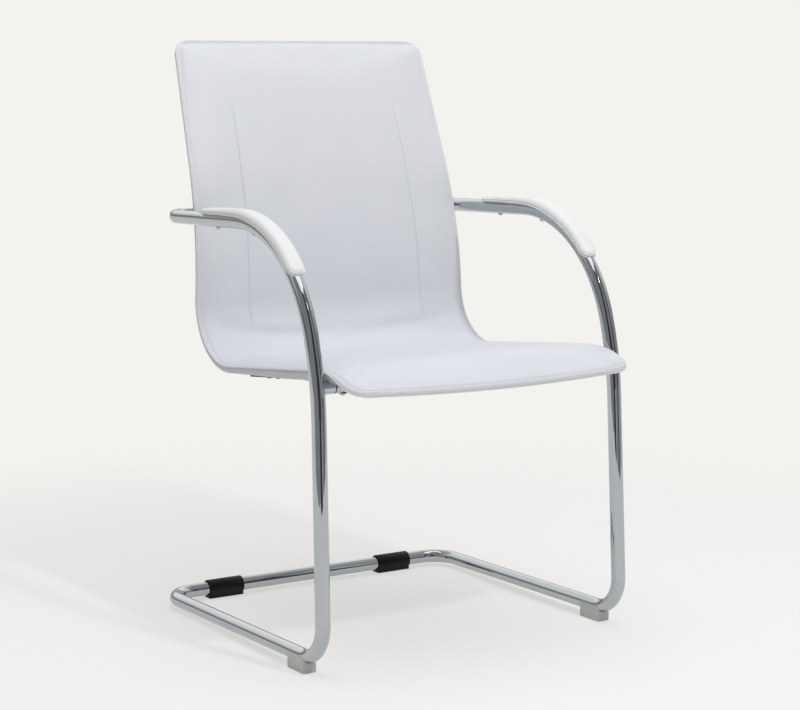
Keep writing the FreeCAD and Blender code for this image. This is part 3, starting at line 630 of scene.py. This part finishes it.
# Along the top the panel turns over the edge as a lip: how far from the edge, and how high over its line.
lip_profile = ((0.1, -0.6), (0.8, 0.3), (2.2, 0.9), (4.5, 0.9), (7.5, 0.2), (9.0, -1.0))
corner_drop = 1.8
lip_share = ease((top_half - np.abs(x[-1])) / top_fade)
lip = [on_shell(x[-1], run[-1] - back * lip_share, rise * lip_share - corner_drop * (1 - lip_share))
       for back, rise in lip_profile]
outer = np.concatenate([outer, np.stack(lip)])
rows, columns = outer.shape[:2]
index = np.arange(rows * columns).reshape(rows, columns)
faces = [tuple(int(k) for k in (index[i, j], index[i + 1, j], index[i + 1, j + 1], index[i, j + 1]))
         for i in range(rows - 1) for j in range(columns - 1)]
rear_panel = new_piece("rear_panel", outer.reshape(-1, 3), faces, leatherette_painted_grey_as_shade)
backing = rear_panel.modifiers.new("cover thickness", "SOLIDIFY")
backing.thickness = 1.1 * mm
backing.offset = -1
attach(rear_panel, "upper")
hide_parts("back_cover")


# Piped seam: a thin cord wrapped in pale cream leatherette, sewn between the front cover and the rear panel.
# It runs all round the shell in one loop and stands a little proud of the edge.

cream_piping = leatherette_in("cream_pvc_piping", "#e2e3df", "#e8e8e3")


def rim_of(grid):
    """The border of a grid as one loop."""
    return np.concatenate([grid[0, :-1], grid[:-1, -1], grid[-1, :0:-1], grid[:0:-1, 0]])


def outline_loop(inset, step):
    """Widths and runs round the shell's outline, moved in from it step by step to an inset, as one loop."""
    rim_x, rim_run = (rim_of(grid) for grid in shell_grid(step))
    if not inset:
        return rim_x, rim_run
    nudge, on_edge, nose_zone, side_zone = 0.05, 0.2, 60, 190
    for turn in range(12):
        now = edge_distance(rim_x, rim_run)
        slope_x = edge_distance(rim_x + nudge, rim_run) - edge_distance(rim_x - nudge, rim_run)
        slope_run = edge_distance(rim_x, rim_run + nudge) - edge_distance(rim_x, rim_run - nudge)
        off_side = -np.sign(rim_x) * (np.abs(rim_x) > side_zone)
        off_end = np.where(rim_run < nose_zone, 1, np.where(rim_run > top_zone, -1, 0))
        inward_x = np.where(now > on_edge, slope_x / (2 * nudge), off_side)
        inward_run = np.where(now > on_edge, slope_run / (2 * nudge), off_end)
        size = np.maximum(np.hypot(inward_x, inward_run), 0.3)
        rim_x = rim_x + 0.5 * (inset - now) * inward_x / size
        rim_run = rim_run + 0.5 * (inset - now) * inward_run / size
    return rim_x, rim_run


piping_radius, line_step = 1.0 * mm, 7
rim_x, rim_run = outline_loop(0, line_step)
piping_line = on_shell(rim_x, rim_run, seam_level(rim_run) - 0.1)
piping = bead("seam_piping", piping_line, piping_radius, 12, cream_piping)
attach(piping, "upper")


# Stitches: lockstitch in hard twisted polyester thread, so each stitch is a small bar with a soft sheen.
# White thread runs 6.5 mm inside the edge of the shell, a greyer one down each channel and a cream one round
# each arm pad.


def thread_material(name, colour):
    made, thread_nodes = new_material(name)
    spot = add_node(thread_nodes, "ShaderNodeTexCoord")
    twist = add_node(thread_nodes, "ShaderNodeTexWave", inputs={
        "Vector": spot.outputs["Object"], "Scale": 1 / (1.5 * mm), "Distortion": 1.0})
    twisted = add_node(thread_nodes, "ShaderNodeBump", inputs={
        "Height": twist.outputs["Fac"], "Strength": 0.4, "Distance": 0.08 * mm})
    fibre = add_node(thread_nodes, "ShaderNodeBsdfPrincipled", inputs={
        "Base Color": hex_linear(colour), "Roughness": 0.5, "Sheen Weight": 0.2,
        "Normal": twisted.outputs["Normal"]})
    add_node(thread_nodes, "ShaderNodeOutputMaterial", inputs={"Surface": fibre.outputs["BSDF"]})
    return made


white_thread = thread_material("white_bonded_polyester_thread", "#f1f1ef")
grey_thread = thread_material("grey_bonded_polyester_thread", "#aeb1b7")
cream_thread = thread_material("cream_bonded_polyester_thread", "#b4b0a3")


def stitch_tree(thread):
    """Geometry Nodes that lay one small bar of thread at each pitch along the edges of a mesh."""
    made = bpy.data.node_groups.new("stitch_rows", "GeometryNodeTree")
    made.interface.new_socket("Geometry", in_out="INPUT", socket_type="NodeSocketGeometry")
    for name in ("Pitch", "Stitch length", "Thread width"):
        made.interface.new_socket(name, in_out="INPUT", socket_type="NodeSocketFloat")
    made.interface.new_socket("Geometry", in_out="OUTPUT", socket_type="NodeSocketGeometry")
    given = add_node(made, "NodeGroupInput")
    lines = add_node(made, "GeometryNodeMeshToCurve", inputs={"Mesh": given.outputs["Geometry"]})
    spots = add_node(made, "GeometryNodeCurveToPoints", {"mode": "LENGTH"}, {
        "Curve": lines.outputs["Curve"], "Length": given.outputs["Pitch"]})
    bar = add_node(made, "GeometryNodeMeshUVSphere", inputs={"Segments": 6, "Rings": 4, "Radius": 0.5})
    size = add_node(made, "ShaderNodeCombineXYZ", inputs={
        "X": given.outputs["Thread width"], "Y": given.outputs["Thread width"],
        "Z": given.outputs["Stitch length"]})
    laid = add_node(made, "GeometryNodeInstanceOnPoints", inputs={
        "Points": spots.outputs["Points"], "Instance": bar.outputs["Mesh"],
        "Rotation": spots.outputs["Rotation"], "Scale": size.outputs["Vector"]})
    real = add_node(made, "GeometryNodeRealizeInstances", inputs={"Geometry": laid.outputs["Instances"]})
    dressed = add_node(made, "GeometryNodeSetMaterial", inputs={
        "Geometry": real.outputs["Geometry"], "Material": thread})
    add_node(made, "NodeGroupOutput", inputs={"Geometry": dressed.outputs["Geometry"]})
    return made


def stitched(name, lines, body, thread):
    """Rows of stitches along lines of points, as a plain mesh. A line is points and whether it closes."""
    points, edges = [], []
    for line, closed in lines:
        first = len(points)
        points += [tuple(p) for p in line]
        edges += [(first + i, first + i + 1) for i in range(len(line) - 1)]
        if closed:
            edges.append((len(points) - 1, first))
    mesh = bpy.data.meshes.new(name + "_rows")
    mesh.from_pydata(points, edges, [])
    rows_object = bpy.data.objects.new(name + "_rows", mesh)
    scene.collection.objects.link(rows_object)
    sewing = rows_object.modifiers.new("stitches", "NODES")
    sewing.node_group = stitch_tree(thread)
    sizes = {"Pitch": 4.6 * mm, "Stitch length": 3.2 * mm, "Thread width": 1.0 * mm}
    for item in sewing.node_group.interface.items_tree:
        if item.in_out == "INPUT" and item.name in sizes:
            sewing[item.identifier] = sizes[item.name]
    ready = rows_object.evaluated_get(bpy.context.evaluated_depsgraph_get())
    plain = bpy.data.meshes.new_from_object(ready)
    bpy.data.objects.remove(rows_object)
    plain.name = name
    plain.shade_smooth()
    made = bpy.data.objects.new(name, plain)
    scene.collection.objects.link(made)
    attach(made, body)


stitch_rise = 0.45
edge_x, edge_run = outline_loop(stitch_inset, line_step)
edge_row = on_shell(edge_x, edge_run, cover_rise(edge_x, edge_run) + stitch_rise)
stitched("edge_stitches", [(edge_row, True)], "upper", white_thread)
stitched("channel_stitches", [(row, False) for row in seam_rows], "upper", grey_thread)


# Arm pads: a moulded base grooved to sit on the arm tube, foam over it and a white leatherette cover.
# Each follows the arm from its straight part down into the sweep, and two screws hold it from below.
# The cover is drawn round the base too, so no edge of the base shows another colour.

pad_start = (-150.68, 564.68, math.radians(47.5))
pad_length, pad_sweep, pad_half, pad_round = 292.6, 185.58, 15.0, 13
arm_sweep_radius, arm_offset = 217, 266.2
side_lean = math.radians(0.6)


def on_pad(x, run, rise):
    """Points in metres on the left arm, at a width, a run from the pad's tip and a rise over the tube."""
    y, z, heading = pad_start
    bend = -1 / arm_sweep_radius
    turned = heading + bend * np.minimum(run, pad_sweep)
    y = y + (np.sin(turned) - math.sin(heading)) / bend + np.maximum(run - pad_sweep, 0) * np.cos(turned)
    z = z + (math.cos(heading) - np.cos(turned)) / bend + np.maximum(run - pad_sweep, 0) * np.sin(turned)
    y, z = y - rise * np.sin(turned), z + rise * np.cos(turned)
    across = arm_offset + x * math.cos(side_lean) - z * math.sin(side_lean)
    return np.stack([across, y, z * math.cos(side_lean) + x * math.sin(side_lean)], -1) * mm


def pad_grid():
    """Widths and runs of a grid that fills the pad's outline, with round ends."""
    steps = np.array([0, 0.12, 0.45, 1.0, 1.8, 2.8, 4.0, 5.5, 7.5, 10])
    right = np.concatenate([[0, 2.5], pad_half - steps[::-1]])
    share = np.concatenate([-right[:0:-1], right]) / pad_half
    over = np.clip(np.abs(share) * pad_half - (pad_half - pad_round), 0, pad_round)
    cut = pad_round - np.sqrt(pad_round ** 2 - over ** 2)
    between = spread(steps[-1], pad_length - steps[-1], 5)
    rows = np.concatenate([steps, between, pad_length - steps[-2::-1]]) / pad_length
    run = cut[None, :] + (pad_length - 2 * cut)[None, :] * rows[:, None]
    return np.broadcast_to(share * pad_half, run.shape), run


end_reach, pad_roll, held_rim = 2.0, 7, 3.3
thin_start, thin_length = 150, 110
x, run = pad_grid()
side, end = pad_half - np.abs(x), np.minimum(run, pad_length - run)
inset = np.where((side < pad_round) & (end < pad_round),
                 pad_round - np.hypot(np.maximum(pad_round - side, 0), np.maximum(pad_round - end, 0)),
                 np.minimum(side, end))
inset = np.maximum(inset, 0)
run = run + end_reach * (2 * run / pad_length - 1)
dome = np.sqrt(1 - (1 - np.clip(inset / pad_roll, 0, 1)) ** 2)
near_end = np.clip(np.minimum(run, pad_length - run), 0, None)
# The pad is fullest along its middle, a little lower at its ends and thinner along the straight arm.
thinner = ease((run - thin_start) / thin_length)
lower = 8.4 + 1.6 * thinner
thick = 7.6 + 2.0 * ease(near_end / 55) + 1.2 * (1 - (x / pad_half) ** 2) - 2.2 * thinner
outer = on_pad(x, run, lower + thick * dome)
under = np.where(inset > 1.5, 14.2, lower)
inner = on_pad(x * 0.9, run, np.minimum(under, lower - 0.2 + 0.85 * thick * dome))
points, faces = closed_skin(outer, inner)
held = np.ones(len(points), bool)
held[:x.size] = (inset < held_rim).ravel()

# A lighter copy of the white leatherette, as painted light: it brightens the pads and their bases as more
# light falling on them would.
pad_leatherette_painted_bright = leatherette_in("white_pvc_leatherette_painted_bright_as_light", "#f1f1f0", "#f5f5f3")

rim = rim_of(outer)
# The stitches run on the third line of the grid from the edge, just proud of the cover.
sewn_row = rim_of(on_pad(x * 1.01, run, lower + thick * dome)[2:-2, 2:-2])
for side, turn in (("left", 1), ("right", -1)):
    flip = np.array([turn, 1, 1])
    turned = faces if turn > 0 else [face[::-1] for face in faces]
    pad = new_piece(side + "_arm_padding", points * flip, turned, pad_leatherette_painted_bright)
    swell(pad, held, cap=1.0 * mm, pressure=3.0)
    rounder = pad.modifiers.new("rounder", "SUBSURF")
    rounder.levels = 1
    rounder.render_levels = 1
    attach(pad, "upper")
    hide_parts(side + "_pad_cover", side + "_pad_foam")
    edging = bead(side + "_pad_piping", rim * flip, piping_radius, 10, cream_piping)
    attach(edging, "upper")
    stitched(side + "_pad_stitches", [(sewn_row * flip, True)], "upper", cream_thread)
    paint(side + "_pad_base", pad_leatherette_painted_bright)


# Studio: a pale floor that runs into a pale background, a key light high in front and a broad top light.
# Near the chair the floor takes its shadow, and further out it passes into the colour of the background.

background = hex_linear("#f3f2ef")
world = bpy.data.worlds.new("pale_studio")
scene.world = world
world.use_nodes = True
tree = world.node_tree
tree.nodes.clear()
rays = add_node(tree, "ShaderNodeLightPath")
# What shiny metal sees: a pale backdrop behind the chair, greyer walls beside it, a dark room in front.
toward_front = (-0.537, -0.843, 0.05)
view = add_node(tree, "ShaderNodeTexCoord")
front = add_node(tree, "ShaderNodeVectorMath", {"operation": "DOT_PRODUCT"}, {
    0: view.outputs["Generated"], 1: toward_front})
share = add_node(tree, "ShaderNodeMapRange", inputs={"Value": front.outputs["Value"], "From Min": -1.0})
room = add_node(tree, "ShaderNodeValToRGB", inputs={"Fac": share.outputs["Result"]})
for spot, shade in ((0.0, "#f3f2ef"), (0.35, "#cfcfcd"), (0.7, "#a9aaa9"), (0.9, "#8a8b8b"),
                    (0.955, "#7d7e7e"), (0.975, "#2c2d2f"), (0.99, "#3a3b3d")):
    stop = room.color_ramp.elements.new(spot) if spot else room.color_ramp.elements[0]
    stop.position = spot
    stop.color = hex_linear(shade)
room.color_ramp.elements[-1].position = 1.0
room.color_ramp.elements[-1].color = hex_linear("#9a9b9c")
plain = add_node(tree, "ShaderNodeBackground", inputs={"Color": background, "Strength": 1.0})
# How high a direction points, which both the walls and the dome of light depend on.
height = add_node(tree, "ShaderNodeSeparateXYZ", inputs={"Vector": view.outputs["Generated"]})
upward = add_node(tree, "ShaderNodeMath", {"operation": "MAXIMUM"}, {0: height.outputs["Z"], 1: 0.0})
# Just over the horizon the walls are dark, and higher up they are lit: this draws thin lines on level tubes.
wall_strength = 1.6
bands = add_node(tree, "ShaderNodeValToRGB", inputs={"Fac": upward.outputs["Value"]})
for spot, level in ((0.0, 0.62), (0.07, 0.3), (0.17, 0.24), (0.29, 0.6), (0.38, 0.95), (0.56, 1.0),
                    (0.72, 0.62)):
    stop = bands.color_ramp.elements.new(spot) if spot else bands.color_ramp.elements[0]
    stop.position = spot
    stop.color = (level, level, level, 1.0)
bands.color_ramp.elements[-1].color = (0.5, 0.5, 0.5, 1.0)
walls = add_node(tree, "ShaderNodeMath", {"operation": "MULTIPLY"}, {
    0: bands.outputs["Color"], 1: wall_strength})
mirrored = add_node(tree, "ShaderNodeBackground", inputs={
    "Color": room.outputs["Color"], "Strength": walls.outputs["Value"]})
# The light of the room on everything dull: a dome, weak near the horizon and strongest overhead.
overhead = add_node(tree, "ShaderNodeMath", {"operation": "POWER"}, {0: upward.outputs["Value"], 1: 2.0})
dome = add_node(tree, "ShaderNodeMapRange", inputs={
    "Value": overhead.outputs["Value"], "To Min": 0.16, "To Max": 0.78})
ambient = add_node(tree, "ShaderNodeBackground", inputs={
    "Color": hex_linear("#eef1f7"), "Strength": dome.outputs["Result"]})
unseen = add_node(tree, "ShaderNodeMixShader", inputs={
    0: rays.outputs["Is Glossy Ray"], 1: ambient.outputs["Background"], 2: mirrored.outputs["Background"]})
straight = add_node(tree, "ShaderNodeMath", {"operation": "MAXIMUM"}, {
    0: rays.outputs["Is Camera Ray"], 1: rays.outputs["Is Transmission Ray"]})
either = add_node(tree, "ShaderNodeMixShader", inputs={
    0: straight.outputs["Value"], 1: unseen.outputs["Shader"], 2: plain.outputs["Background"]})
add_node(tree, "ShaderNodeOutputWorld", inputs={"Surface": either.outputs["Shader"]})

floor_paint, tree = new_material("pale_floor")
place = add_node(tree, "ShaderNodeTexCoord")
away = add_node(tree, "ShaderNodeVectorMath", {"operation": "LENGTH"}, {0: place.outputs["Object"]})
fade = add_node(tree, "ShaderNodeMapRange", {"interpolation_type": "SMOOTHSTEP"}, {
    "Value": away.outputs["Value"], "From Min": 0.7, "From Max": 1.7})
bounce = add_node(tree, "ShaderNodeBsdfDiffuse", inputs={"Color": hex_linear("#ecebe8")})
near = add_node(tree, "ShaderNodeBsdfDiffuse", inputs={"Color": hex_linear("#b3b2af")})
glow = add_node(tree, "ShaderNodeEmission", inputs={"Color": background, "Strength": 0.59})
lit = add_node(tree, "ShaderNodeAddShader", inputs={0: near.outputs["BSDF"], 1: glow.outputs["Emission"]})
rays = add_node(tree, "ShaderNodeLightPath")
seen = add_node(tree, "ShaderNodeMath", {"operation": "MAXIMUM"}, {
    0: rays.outputs["Is Camera Ray"], 1: rays.outputs["Is Glossy Ray"]})
ground = add_node(tree, "ShaderNodeMixShader", inputs={
    0: seen.outputs["Value"], 1: bounce.outputs["BSDF"], 2: lit.outputs["Shader"]})
far = add_node(tree, "ShaderNodeEmission", inputs={"Color": background, "Strength": 1.0})
mixed = add_node(tree, "ShaderNodeMixShader", inputs={
    0: fade.outputs["Result"], 1: ground.outputs["Shader"], 2: far.outputs["Emission"]})
add_node(tree, "ShaderNodeOutputMaterial", inputs={"Surface": mixed.outputs["Shader"]})
reach = 12.0
floor_corners = [(-reach, -reach, 0), (reach, -reach, 0), (reach, reach, 0), (-reach, reach, 0)]
floor = new_piece("floor", floor_corners, [(0, 1, 2, 3)], floor_paint)


def soft_light(name, place, aim, size, power, colour):
    lamp = bpy.data.lights.new(name, "AREA")
    lamp.shape = "RECTANGLE"
    lamp.size, lamp.size_y = size
    lamp.energy = power
    lamp.color = hex_linear(colour)[:3]
    made = bpy.data.objects.new(name, lamp)
    made.location = place
    made.rotation_euler = (Vector(aim) - Vector(place)).to_track_quat("-Z", "Y").to_euler()
    scene.collection.objects.link(made)


middle_of_chair = (0, 0, 0.4)
soft_light("key", (0.34, -2.3, 3.0), middle_of_chair, (0.22, 0.22), 29, "#ffffff")
soft_light("top", (0.1, -0.25, 3.2), middle_of_chair, (2.8, 2.8), 32, "#ffffff")


def dark_card(name, bearing, distance, width, shade):
    """A hung card that only shiny metal sees, as photographers use to draw dark lines on chrome.

    It stops short of the floor, so the feet of the legs mirror the bright floor alone."""
    floor_gap, height = 0.1, 2.4
    card_paint, card_tree = new_material(name + "_paint")
    flat = add_node(card_tree, "ShaderNodeEmission", inputs={"Color": hex_linear(shade), "Strength": 1.0})
    add_node(card_tree, "ShaderNodeOutputMaterial", inputs={"Surface": flat.outputs["Emission"]})
    angle = math.radians(bearing)
    middle = Vector((math.cos(angle) * distance, math.sin(angle) * distance, floor_gap))
    across = Vector((-math.sin(angle), math.cos(angle), 0)) * (width / 2)
    up = Vector((0, 0, height))
    corners = [middle - across, middle + across, middle + across + up, middle - across + up]
    card = new_piece(name, corners, [(0, 1, 2, 3)], card_paint)
    card.visible_camera = False
    card.visible_diffuse = False
    card.visible_shadow = False
    card.visible_transmission = False


for number, (bearing, distance, width, shade) in enumerate((
        (211, 1.5, 1.5, "#98999a"), (251, 1.42, 0.66, "#444547"), (283, 1.5, 0.75, "#98999a"),
        (302, 1.42, 0.36, "#505153"), (325, 1.5, 0.55, "#a8a9a9"))):
    dark_card("card_" + str(number), bearing, distance, width, shade)

# Camera: a long lens at the height of the back's top, from the front and the sitter's right.
camera = bpy.data.objects.new("camera", bpy.data.cameras.new("camera"))
scene.collection.objects.link(camera)
camera.location = (-1.7446, -2.7561, 0.8771)
camera.rotation_euler = (math.radians(81.986), 0, math.radians(-32.513))
camera.data.sensor_fit = "HORIZONTAL"
camera.data.sensor_width = 36
camera.data.lens = 95.48
scene.camera = camera
scene.view_settings.view_transform = "Standard"
